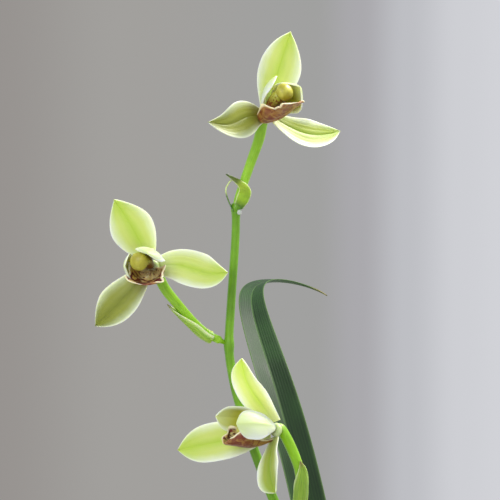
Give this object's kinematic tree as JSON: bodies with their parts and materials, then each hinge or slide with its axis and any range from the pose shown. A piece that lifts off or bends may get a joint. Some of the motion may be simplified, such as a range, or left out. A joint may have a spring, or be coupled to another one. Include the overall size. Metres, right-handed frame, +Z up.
{
  "type": "potted orchid",
  "caption": "Green-flowered cymbidium orchid in a round clay pot: pseudobulbs, strap leaves and an upright stem of open flowers with blotched lips.",
  "frame": {"origin": "centre of the pot's flat underside, on the surface that it stands on", "axes": "+Z up along the pot's axis; -Y towards the viewer of the flowers, the plant's front; +X to the right in the front view"},
  "size_m": [0.2717, 0.3354, 0.4104],
  "materials": {
    "stalk": "living stem, satin",
    "dry_sheath": "dry, papery, fibrous",
    "leaf": "living leaf, satin",
    "pseudobulb": "living tissue, satin",
    "anther_cap": "living tissue, waxy",
    "bract": "living bract, matt",
    "column": "living tissue, waxy",
    "sepal": "living sepal, soft sheen, translucent",
    "petal": "living petal, soft sheen, translucent",
    "lip": "living lip, cream blotched with maroon",
    "clay": "unglazed fired clay, matt",
    "potting_mix": "damp bark and grit",
    "pumice": "rough, porous",
    "stem_sheath": "living sheath, matt"
  },
  "bodies": {
    "root": {"flower_stem": "stalk", "front_bulb_sheath": "dry_sheath", "front_leaf_1": "leaf", "front_leaf_2": "leaf", "front_leaf_3": "leaf", "front_leaf_4": "leaf", "front_pseudobulb": "pseudobulb", "left_flower_anther_cap": "anther_cap", "left_flower_bract": "bract", "left_flower_column": "column", "left_flower_dorsal_sepal": "sepal", "left_flower_left_petal": "petal", "left_flower_left_sepal": "sepal", "left_flower_lip": "lip", "left_flower_right_petal": "petal", "left_flower_right_sepal": "sepal", "left_flower_stalk": "stalk", "lower_flower_anther_cap": "anther_cap", "lower_flower_bract": "bract", "lower_flower_column": "column", "lower_flower_dorsal_sepal": "sepal", "lower_flower_left_petal": "petal", "lower_flower_left_sepal": "sepal", "lower_flower_lip": "lip", "lower_flower_right_petal": "petal", "lower_flower_right_sepal": "sepal", "lower_flower_stalk": "stalk", "middle_bulb_sheath": "dry_sheath", "middle_leaf_1": "leaf", "middle_leaf_2": "leaf", "middle_leaf_3": "leaf", "middle_leaf_4": "leaf", "middle_pseudobulb": "pseudobulb", "pot": "clay", "potting_mix": "potting_mix", "pumice_dressing": "pumice", "rear_bulb_sheath": "dry_sheath", "rear_leaf_1": "leaf", "rear_leaf_2": "leaf", "rear_leaf_3": "leaf", "rear_pseudobulb": "pseudobulb", "stem_sheath_lower": "stem_sheath", "stem_sheath_middle": "stem_sheath", "stem_sheath_upper": "stem_sheath", "stem_tip_scale": "bract", "top_flower_anther_cap": "anther_cap", "top_flower_bract": "bract", "top_flower_column": "column", "top_flower_dorsal_sepal": "sepal", "top_flower_left_petal": "petal", "top_flower_left_sepal": "sepal", "top_flower_lip": "lip", "top_flower_right_petal": "petal", "top_flower_right_sepal": "sepal", "top_flower_stalk": "stalk"}
  },
  "joints": []
}
